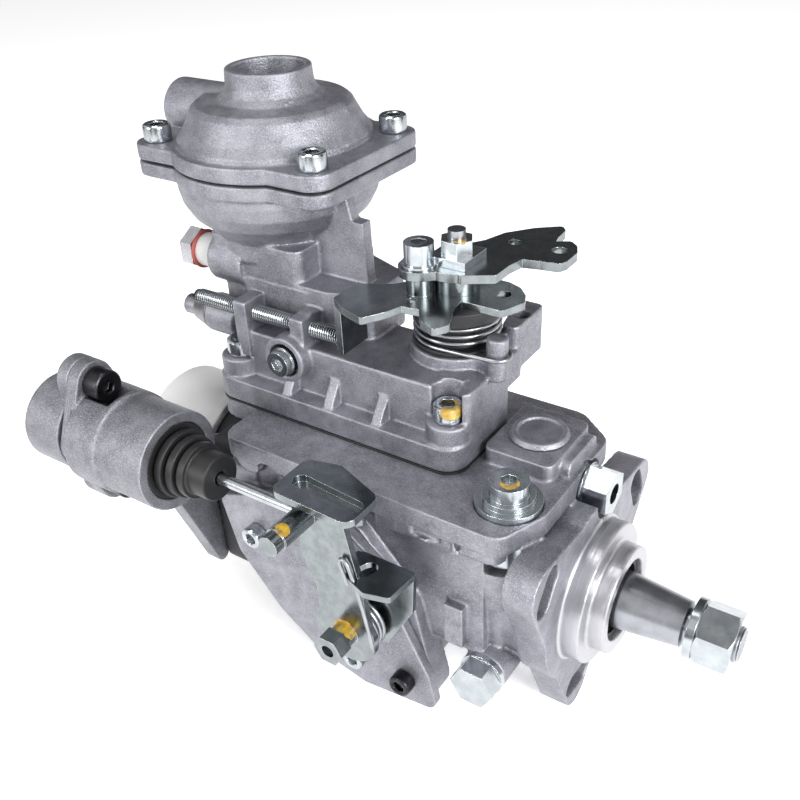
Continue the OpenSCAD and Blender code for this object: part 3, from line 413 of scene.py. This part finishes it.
def pathMesh(name, points):
    mesh = bpy.data.meshes.new(name)
    mesh.from_pydata(points, [(i, i + 1) for i in range(len(points) - 1)], [])
    return mesh


wire = Shape("wireAlongPath", {"Radius": "NodeSocketFloat", "Sides": "NodeSocketInt",
                               "Material": "NodeSocketMaterial"})
wireLine = wire.node("GeometryNodeMeshToCurve", {}, {"Mesh": wire.given("Geometry")})
wireRound = wire.node("GeometryNodeCurvePrimitiveCircle", {},
                      {"Resolution": wire.given("Sides"), "Radius": wire.given("Radius")})
wire.close(wire.node("GeometryNodeCurveToMesh", {},
                     {"Curve": wireLine, "Profile Curve": wireRound, "Fill Caps": True}))


def helix(centre, axis, radius, pitch, start, end, steps=40):
    # points of a coil from angle start to end, in degrees, with its beginning at the centre
    along = Vector(axis)
    first = Vector((0, 1, 0)) if abs(along.x) > 0.5 else Vector((1, 0, 0))
    second = along.cross(first)
    count = int((end - start) / 360 * steps)
    points = []
    for i in range(count + 1):
        a = math.radians(start + (end - start) * i / count)
        rise = along * pitch * (a - math.radians(start)) / (2 * math.pi)
        points.append(Vector(centre) + first * radius * math.cos(a) + second * radius * math.sin(a) + rise)
    return points


def arc(centre, first, second, radius, start, end, steps=14):
    turnAt = [math.radians(start + (end - start) * i / steps) for i in range(steps + 1)]
    return [Vector(centre) + (Vector(first) * math.cos(a) + Vector(second) * math.sin(a)) * radius
            for a in turnAt]


def coilPiece(name, points, radius, body, replaced=()):
    mesh = wire.make(name, pathMesh(name + "Path", [p / 1000 for p in points]),
                     {"Radius": radius / 1000, "Sides": 14, "Material": slotMaterials["spring_steel"]})
    return newPiece(name, shaded(mesh, 60), body, "spring_steel", replaced)


# throttle return spring, hooked round the front of the post on the cover
throttleCoil = {"centre": (-59.5, 13, 85.3), "radius": 14.4, "wire": 0.68, "pitch": 2.5, "turns": 3.1,
                "post": (-39.6, 4.5), "postRadius": 4.5, "hook": 170}
reach = Vector((*throttleCoil["post"], 0)) - Vector((*throttleCoil["centre"][:2], 0))
# the angle at which the wire leaves the coil for the post
leaning = math.acos((throttleCoil["radius"] - throttleCoil["postRadius"]) / reach.length)
leaves = math.degrees(math.atan2(reach.y, reach.x) - leaning)
coilPoints = helix(throttleCoil["centre"], (0, 0, 1), throttleCoil["radius"], -throttleCoil["pitch"],
                   leaves - 360 * throttleCoil["turns"], leaves)
hookPoints = arc((*throttleCoil["post"], coilPoints[-1].z), (1, 0, 0), (0, 1, 0),
                 throttleCoil["postRadius"], leaves, leaves + throttleCoil["hook"])
coilPiece("throttleSpring", coilPoints + hookPoints, throttleCoil["wire"], "pump", ["throttle_spring"])

# cold start spring: a coil on the pivot, and its leg hooked over the front plate
coldCoil = {"centre": (-62, -48.2, -5), "radius": 10, "wire": 0.85, "pitch": 1.9, "start": 95, "end": 1500,
            "legWire": 0.7,
            "leg": [(-52.5, -54.2, -9.5), (-50.9, -57, -7.5), (-50.3, -58.5, -4), (-51.2, -58.6, 2),
                    (-52.8, -58.6, 10), (-55, -58.6, 20), (-57.4, -58.6, 27.5), (-58.6, -58.6, 29.4),
                    (-60, -58.6, 29.3), (-60.7, -58.6, 27.4), (-59.6, -58.6, 23.5), (-58, -58.6, 19.5)]}
coldPoints = helix(coldCoil["centre"], (0, -1, 0), coldCoil["radius"], coldCoil["pitch"], coldCoil["start"],
                   coldCoil["end"])
coilPiece("coldSpring", coldPoints, coldCoil["wire"], "pump", ["cold_spring"])
coilPiece("coldSpringLeg", [Vector(p) for p in coldCoil["leg"]], coldCoil["legWire"], "cold")
print("springs done")


# threaded rod: a grid wrapped round the Z axis, with a triangular thread
rod = Shape("threadedRod", {"Radius": "NodeSocketFloat", "Depth": "NodeSocketFloat",
                            "Pitch": "NodeSocketFloat", "Length": "NodeSocketFloat",
                            "Sides": "NodeSocketInt", "Rings": "NodeSocketInt",
                            "Material": "NodeSocketMaterial"})
rodGrid = rod.node("GeometryNodeMeshGrid", {}, {"Size X": 1.0, "Size Y": 1.0,
                                                "Vertices X": rod.given("Sides"),
                                                "Vertices Y": rod.given("Rings")})
rodPosition = rod.node("GeometryNodeInputPosition", {}, {})
rodPlace = rod.node("ShaderNodeSeparateXYZ", {}, {"Vector": rodPosition}).socket.node
across, along = (Wire(rod, rodPlace.outputs[i]) + 0.5 for i in range(2))
height = along * rod.given("Length")
phase = rod.maths("FRACT", rod.maths("DIVIDE", height, rod.given("Pitch")) - across)
crest = 1 - rod.maths("ABSOLUTE", phase * 2 - 1)
fade = along.over(0.0, 0.03) * along.over(1.0, 0.97)
size = rod.given("Radius") - rod.given("Depth") * (1 - crest * fade)
angle = across * (2 * math.pi)
placed = rod.node("ShaderNodeCombineXYZ", {}, {"X": size * rod.maths("COSINE", angle),
                                               "Y": size * rod.maths("SINE", angle), "Z": height})
rodSide = rod.node("GeometryNodeSetPosition", {}, {"Geometry": rodGrid, "Position": placed})
rodEnd = rod.node("GeometryNodeMeshCircle", {"fill_type": "NGON"},
                  {"Vertices": rod.given("Sides") - 1, "Radius": rod.given("Radius") - rod.given("Depth")})
farPlace = rod.node("ShaderNodeCombineXYZ", {}, {"Z": rod.given("Length")})
farEnd = rod.node("GeometryNodeTransform", {}, {"Geometry": rodEnd, "Translation": farPlace})
rodAll = rod.node("GeometryNodeJoinGeometry", {}, {"Geometry": rodSide})
for extra in (rodEnd, farEnd):
    rod.tree.links.new(extra.socket, rodAll.socket.node.inputs[0])
rod.close(rod.node("GeometryNodeMergeByDistance", {}, {"Geometry": rodAll, "Distance": 2e-6}))


def threadPiece(name, start, axis, look, slot, body, replaced=(), material=None):
    # the grid's seam is doubled, so 41 points go round 40 sides; eight rings make one turn of the thread
    rings = int(look["length"] / look["pitch"] * 8) + 1
    values = {"Radius": look["radius"] / 1000, "Depth": look["depth"] / 1000, "Pitch": look["pitch"] / 1000,
              "Length": look["length"] / 1000, "Sides": 41, "Rings": rings,
              "Material": material or slotMaterials[slot]}
    result = rod.make(name, bpy.data.meshes.new(name + "Seed"), values)
    turned = Vector((0, 0, 1)).rotation_difference(Vector(axis)).to_matrix().to_4x4()
    result.transform(Matrix.Translation(millimetres(*start)) @ turned)
    build = bmesh.new()
    build.from_mesh(result)
    bmesh.ops.recalc_face_normals(build, faces=build.faces)
    build.to_mesh(result)
    build.free()
    return newPiece(name, shaded(result, 40), body, slot, replaced, material)


idleLook = {"radius": 2.98, "depth": 0.55, "pitch": 1.0, "length": 69.2}
shaftLook = {"radius": 5.98, "depth": 0.75, "pitch": 1.5, "length": 1.8}
threadPiece("idleThread", (-160, -8.5, 76), (1, 0, 0), idleLook, "zinc", "pump", ["idle_screw"], rootShadedZinc)
threadPiece("shaftThread", (50.2, 0, 0), (1, 0, 0), shaftLook, "steel", "drive")
print("threads done")


# socket head screws: one head, set wherever the CAD has a screw
def headMesh(name, look):
    radius, height, across = look["radius"], look["height"], look["across"]
    sides = look["knurls"] * 2

    def corner(a, width):
        # distance to a hexagon of this width across flats
        return width / 2 / math.cos((a + math.pi / 6) % (math.pi / 3) - math.pi / 6)

    inner = across / 2 * 1.155 + 0.12
    floorAt = height - look["socket"]
    # the head's rings from its seat up and down into the socket: radius, height, kind
    rings = [(radius - 0.35, 0.0, "round"), (radius, 0.35, "knurled"), (radius, height - 0.95, "knurled"),
             (radius - 0.08, height - 0.75, "round"), (radius - 0.22, height - 0.35, "round"),
             (radius - 0.75, height, "round"), (inner + 0.25, height, "round"),
             (inner, height - 0.1, "round"), (0, height - 0.45, "hexagon"), (0, floorAt, "hexagon"),
             (across * 0.25, floorAt - 0.25, "round")]
    knurl = 0.07
    build = bmesh.new()
    loops = []
    for size, level, kind in rings:
        loop = []
        for k in range(sides):
            a = 2 * math.pi * k / sides
            groove = knurl * (k % 2) if kind == "knurled" else 0
            r = corner(a, across) if kind == "hexagon" else size - groove
            loop.append(build.verts.new((r * math.cos(a) / 1000, r * math.sin(a) / 1000, level / 1000)))
        loops.append(loop)
    for low, high in zip(loops, loops[1:]):
        for k in range(sides):
            build.faces.new((low[k], low[(k + 1) % sides], high[(k + 1) % sides], high[k]))
    build.faces.new(list(reversed(loops[0])))
    build.faces.new(loops[-1])
    bmesh.ops.recalc_face_normals(build, faces=build.faces)
    mesh = bpy.data.meshes.new(name)
    build.to_mesh(mesh)
    build.free()
    return mesh


def islands(mesh):
    build = bmesh.new()
    build.from_mesh(mesh)
    bmesh.ops.remove_doubles(build, verts=build.verts, dist=1e-6)
    left = set(build.verts)
    found = []
    while left:
        group = []
        waiting = [left.pop()]
        while waiting:
            vert = waiting.pop()
            group.append(vert.co.copy())
            for edge in vert.link_edges:
                other = edge.other_vert(vert)
                if other in left:
                    left.remove(other)
                    waiting.append(other)
        found.append(group)
    build.free()
    return found


def screwPoint(points):
    # seat, direction, head size and shank length of one CAD screw, from its own outline
    low = Vector([min(p[i] for p in points) for i in range(3)])
    high = Vector([max(p[i] for p in points) for i in range(3)])
    axis = max(range(3), key=lambda i: high[i] - low[i])
    middle = (low + high) / 2

    def away(p):
        return math.dist([p[i] for i in range(3) if i != axis], [middle[i] for i in range(3) if i != axis])

    ends = [max(away(p) for p in points if abs(p[axis] - side[axis]) < 0.0008) for side in (low, high)]
    sign = 1 if ends[1] > ends[0] else -1
    radius = max(away(p) for p in points)
    headPoints = [p[axis] for p in points if away(p) > radius - 0.0004]
    seat = min(headPoints) if sign > 0 else max(headPoints)
    tip, top = (low[axis], high[axis]) if sign > 0 else (high[axis], low[axis])
    aim = Vector((0, 0, 0))
    aim[axis] = sign
    middle[axis] = seat
    return {"seat": middle, "aim": aim, "radius": radius, "height": abs(top - seat),
            "shank": abs(seat - tip)}


screws = Shape("screwSet", {"Head": "NodeSocketObject", "Shank": "NodeSocketObject",
                            "Material": "NodeSocketMaterial"})
aims = screws.node("GeometryNodeInputNamedAttribute", {"data_type": "FLOAT_VECTOR"}, {"Name": "aim"})
aimed = screws.node("FunctionNodeAlignRotationToVector", {"axis": "Z"}, {"Vector": aims})
depth = screws.node("GeometryNodeInputNamedAttribute", {"data_type": "FLOAT"}, {"Name": "shank"})
stretch = screws.node("ShaderNodeCombineXYZ", {}, {"X": 1.0, "Y": 1.0, "Z": depth})
screwParts = [screws.node("GeometryNodeInstanceOnPoints", {}, {
    "Points": screws.given("Geometry"), "Rotation": aimed, "Scale": scale,
    "Instance": screws.node("GeometryNodeObjectInfo", {}, {"Object": screws.given(label)}, "Geometry")})
    for label, scale in (("Head", (1, 1, 1)), ("Shank", stretch))]
screwJoin = screws.node("GeometryNodeJoinGeometry", {}, {"Geometry": screwParts[0]})
screws.tree.links.new(screwParts[1].socket, screwJoin.socket.node.inputs[0])
screws.close(screwJoin)


def screwPiece(name, found, look, slot, replaced, material=None):
    head = bpy.data.objects.new(name + "Head", headMesh(name + "Head", look))
    build = bmesh.new()
    thick = look["shankRadius"] / 1000
    bmesh.ops.create_cone(build, cap_ends=True, segments=28, radius1=thick, radius2=thick, depth=1,
                          matrix=Matrix.Translation((0, 0, -0.5)))
    shankMesh = bpy.data.meshes.new(name + "Shank")
    build.to_mesh(shankMesh)
    build.free()
    shank = bpy.data.objects.new(name + "Shank", shankMesh)
    points = bpy.data.meshes.new(name + "Points")
    points.from_pydata([s["seat"] for s in found], [], [])
    aims = points.attributes.new("aim", "FLOAT_VECTOR", "POINT")
    aims.data.foreach_set("vector", [v for s in found for v in s["aim"]])
    lengths = points.attributes.new("shank", "FLOAT", "POINT")
    lengths.data.foreach_set("value", [s["shank"] for s in found])
    for part in (head, shank):
        bpy.context.scene.collection.objects.link(part)
    result = screws.make(name, points, {"Head": head, "Shank": shank,
                                        "Material": material or slotMaterials[slot]})
    for part in (head, shank):
        bpy.data.objects.remove(part)
    return newPiece(name, shaded(result, 28), "pump", slot, replaced, material)


def sizeOf(screw):
    return round(screw["radius"] * 1000, 1), round(screw["height"] * 1000, 1)


def isBlack(screw):
    # the screws along X at the rear end, and the low one on the near side
    seat, aim = screw["seat"], screw["aim"]
    return seat.x < -0.16 and abs(aim.x) > 0.5 or seat.z < -0.02 and aim.y < -0.5 and seat.x > -0.05


m6Look = {"knurls": 36, "across": 5.0, "socket": 3.0, "shankRadius": 2.85}
m5Look = {"knurls": 32, "across": 4.0, "socket": 2.5, "shankRadius": 2.35}
for nodeName, look in (("m6_screws", m6Look), ("m5_screws", m5Look)):
    found = [screwPoint(group) for group in islands(nodes[nodeName].data)]
    sizes = sorted({sizeOf(s) for s in found})
    print(nodeName, len(found), "screws, heads", sizes)
    black = [s for s in found if isBlack(s)]
    bright = [s for s in found if not isBlack(s)]
    for label, group, material in (("Bright", bright, None), ("Black", black, blackOxide)):
        for i, (radius, height) in enumerate(sizes):
            same = [s for s in group if sizeOf(s) == (radius, height)]
            if same:
                screwPiece(nodeName.split("_")[0] + label + str(i), same,
                           {**look, "radius": radius, "height": height}, slotOf[nodeName], [nodeName],
                           material)
print("screws done")


def islandGroups(source, axis):
    # the rings of one spring lie along one line, so they are gathered by their place across it
    groups = {}
    for ring in islands(nodes[source].data):
        key = tuple(round(sum(p[k] for p in ring) / len(ring) * 1000) for k in range(3) if k != axis)
        groups.setdefault(key, []).extend(ring)
    return [groups[key] for key in sorted(groups)]


# inner springs: one even coil for each group of CAD rings
def innerCoil(name, source, axis, wireSize, turns):
    for i, group in enumerate(islandGroups(source, axis)):
        low = Vector([min(p[k] for p in group) for k in range(3)]) * 1000
        high = Vector([max(p[k] for p in group) for k in range(3)]) * 1000
        along = Vector((0, 0, 0))
        along[axis] = 1
        start = (low + high) / 2
        start[axis] = low[axis] + wireSize
        radius = (high - low)[(axis + 1) % 3] / 2 - wireSize
        pitch = ((high - low)[axis] - 2 * wireSize) / turns
        points = helix(start, along, radius, pitch, 0, 360 * turns, 28)
        piece = coilPiece(name + str(i), points, wireSize, "pump", [source])
        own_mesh(piece)


innerCoil("boostCoil", "boost_spring", 2, 0.9, 6.5)
innerCoil("timingCoil", "timing_spring", 1, 0.8, 13)
innerCoil("plungerCoil", "plunger_springs", 0, 0.8, 15)


# white sleeve and red seal ring at the side plug
def ringMesh(name, path, centre, axis, sides=48):
    # a closed profile of (radius, place along the axis), turned about the axis
    build = bmesh.new()
    turned = Vector((0, 0, 1)).rotation_difference(Vector(axis)).to_matrix()
    loops = []
    for k in range(sides):
        a = 2 * math.pi * k / sides
        spots = [turned @ Vector((r * math.cos(a), r * math.sin(a), h)) + Vector(centre) for r, h in path]
        loops.append([build.verts.new(spot / 1000) for spot in spots])
    for k in range(sides):
        first, second = loops[k], loops[(k + 1) % sides]
        for i in range(len(path)):
            j = (i + 1) % len(path)
            build.faces.new((first[i], second[i], second[j], first[j]))
    bmesh.ops.recalc_face_normals(build, faces=build.faces)
    mesh = bpy.data.meshes.new(name)
    build.to_mesh(mesh)
    build.free()
    return shaded(mesh, 40)


sleeveLook = {"inner": 5.9, "outer": 6.35, "from": -165.9, "to": -158.2, "ring": 0.75}
sleeveLength = sleeveLook["to"] - sleeveLook["from"]
sleevePath = [(sleeveLook["inner"], 0), (sleeveLook["outer"] - 0.2, 0), (sleeveLook["outer"], 0.3),
              (sleeveLook["outer"], sleeveLength), (sleeveLook["inner"], sleeveLength)]
sleeveMesh = ringMesh("whiteSleeve", sleevePath, (sleeveLook["from"], 4, 89), (1, 0, 0))
newPiece("whiteSleeve", sleeveMesh, "pump", "white_plastic")
redRubber = softMaterial("redSeal", (0.42, 0.09, 0.07), 0.45, 1500, 0.15)
sealRadius = sleeveLook["outer"] + 0.35
sealPath = [(sealRadius + sleeveLook["ring"] * math.cos(a), sleeveLook["ring"] * math.sin(a))
            for a in [2 * math.pi * i / 12 for i in range(12)]]
sealMesh = ringMesh("redSealRing", sealPath, (-165.4, 4, 89), (1, 0, 0))
newPiece("redSealRing", sealMesh, "pump", "rubber", (), redRubber)
print("seal done")


# camera at the photograph's viewing angle
photoView = {"lens": 42.82, "sensor": 36, "near": 0.01, "place": (0.0883, -0.2313, 0.2303),
             "right": (0.8301, 0.5561, -0.0419), "down": (0.2679, -0.4635, -0.8446),
             "ahead": (-0.4891, 0.6899, -0.5337)}
cameraData = bpy.data.cameras.new("photoCamera")
cameraData.lens = photoView["lens"]
cameraData.sensor_width = photoView["sensor"]
cameraData.clip_start = photoView["near"]
camera = bpy.data.objects.new("photoCamera", cameraData)
right, down, ahead = (Vector(photoView[way]) for way in ("right", "down", "ahead"))
turn = Matrix((right, -down, -ahead)).transposed().to_4x4()
camera.matrix_world = Matrix.Translation(photoView["place"]) @ turn
bpy.context.scene.collection.objects.link(camera)
bpy.context.scene.camera = camera


lowest = cadBox[0][2]
floorMesh = bpy.data.meshes.new("floor")
floorCorners = [(x * 6, y * 6, lowest) for x, y in ((-1, -1), (1, -1), (1, 1), (-1, 1))]
floorMesh.from_pydata(floorCorners, [], [(0, 1, 2, 3)])
floorGraph = Graph("paleFloor")
ray = floorGraph.tree.nodes.new("ShaderNodeLightPath").outputs
# paler to what looks at it or mirrors it than to the light that it passes on
seen = Wire(floorGraph, ray["Is Camera Ray"]) + Wire(floorGraph, ray["Is Glossy Ray"])
seen = seen + Wire(floorGraph, ray["Is Transmission Ray"])
paperColour = floorGraph.mix(seen, (0.85, 0.85, 0.85), (1.3, 1.3, 1.3))
paper = floorGraph.node("ShaderNodeBsdfDiffuse", {}, {"Color": paperColour})
glow = floorGraph.node("ShaderNodeEmission", {}, {"Color": (1.0, 1.0, 1.0), "Strength": seen * 0.3})
floorShader = floorGraph.node("ShaderNodeAddShader", {}, {0: paper, 1: glow})
floorGraph.node("ShaderNodeOutputMaterial", {}, {"Surface": floorShader})
floorMesh.materials.append(floorGraph.material)
floor = bpy.data.objects.new("floor", floorMesh)
bpy.context.scene.collection.objects.link(floor)

world = bpy.data.worlds.new("studio")
world.use_nodes = True
worldTree = world.node_tree
worldTree.nodes.clear()
links = worldTree.links
rays = worldTree.nodes.new("ShaderNodeLightPath").outputs
direct = rays["Is Camera Ray"]
for label in ("Is Glossy Ray", "Is Transmission Ray"):
    either = worldTree.nodes.new("ShaderNodeMath")
    either.operation = "MAXIMUM"
    links.new(direct, either.inputs[0])
    links.new(rays[label], either.inputs[1])
    direct = either.outputs[0]
strength = worldTree.nodes.new("ShaderNodeMapRange")
strength.inputs["To Min"].default_value = 0.4
strength.inputs["To Max"].default_value = 1.0
background = worldTree.nodes.new("ShaderNodeBackground")
background.inputs["Color"].default_value = (1, 1, 1, 1)
output = worldTree.nodes.new("ShaderNodeOutputWorld")
links.new(direct, strength.inputs["Value"])
links.new(strength.outputs[0], background.inputs["Strength"])
links.new(background.outputs[0], output.inputs["Surface"])
bpy.context.scene.world = world


def softBox(name, place, aim, size, power):
    lamp = bpy.data.lights.new(name, "AREA")
    lamp.shape = "RECTANGLE"
    lamp.size, lamp.size_y = size
    lamp.energy = power
    thing = bpy.data.objects.new(name, lamp)
    thing.location = place
    thing.rotation_euler = (Vector(aim) - Vector(place)).to_track_quat("-Z", "Y").to_euler()
    bpy.context.scene.collection.objects.link(thing)


softBox("keyLight", (1.0, -0.4, 0.5), (-0.08, 0, 0.04), (0.5, 0.5), 15)
softBox("fillLight", (-0.5, -0.95, 0.45), (-0.08, 0, 0.04), (0.4, 0.4), 5)
softBox("topLight", (-0.35, 0.0, 1.15), (-0.08, 0, 0.05), (0.25, 0.25), 3)


def darkCard(name, place, aim, size, shade):
    # seen only in reflections, to give the metal its dark parts
    corners = [(x * size[0] / 2, y * size[1] / 2, 0) for x, y in ((-1, -1), (1, -1), (1, 1), (-1, 1))]
    mesh = bpy.data.meshes.new(name)
    mesh.from_pydata(corners, [], [(0, 1, 2, 3)])
    g = Graph(name)
    lit = g.node("ShaderNodeEmission", {}, {"Color": (shade, shade, shade * 1.05), "Strength": 1.0})
    g.node("ShaderNodeOutputMaterial", {}, {"Surface": lit})
    mesh.materials.append(g.material)
    card = bpy.data.objects.new(name, mesh)
    card.location = place
    card.rotation_euler = (Vector(aim) - Vector(place)).to_track_quat("Z", "Y").to_euler()
    card.visible_camera = False
    card.visible_diffuse = False
    card.visible_shadow = False
    bpy.context.scene.collection.objects.link(card)


darkCard("rearCard", (-0.62, 0.78, 0.62), (-0.08, 0, 0.06), (1.7, 1.0), 0.09)
darkCard("overCard", (-0.25, 0.2, 1.25), (-0.08, 0, 0.06), (1.5, 1.2), 0.14)
darkCard("sideCard", (0.9, 0.55, 0.3), (-0.05, 0, 0.03), (0.5, 0.9), 0.06)
darkCard("frontCard", (-0.2, -1.0, 0.25), (-0.08, 0, 0.03), (0.3, 0.7), 0.08)
darkCard("lowCard", (0.5, -0.9, 0.1), (-0.05, 0, 0.0), (0.5, 0.35), 0.08)
darkCard("leftCard", (-1.1, -0.2, 0.2), (-0.1, 0, 0.03), (0.5, 0.6), 0.1)
darkCard("floorCardLeft", (-0.42, -0.5, lowest + 0.002), (-0.42, -0.5, 1), (0.22, 0.5), 0.12)
darkCard("floorCardRight", (0.42, -0.42, lowest + 0.002), (0.42, -0.42, 1), (0.25, 0.4), 0.12)
bpy.context.scene.view_settings.view_transform = "Standard"
print("stage set")
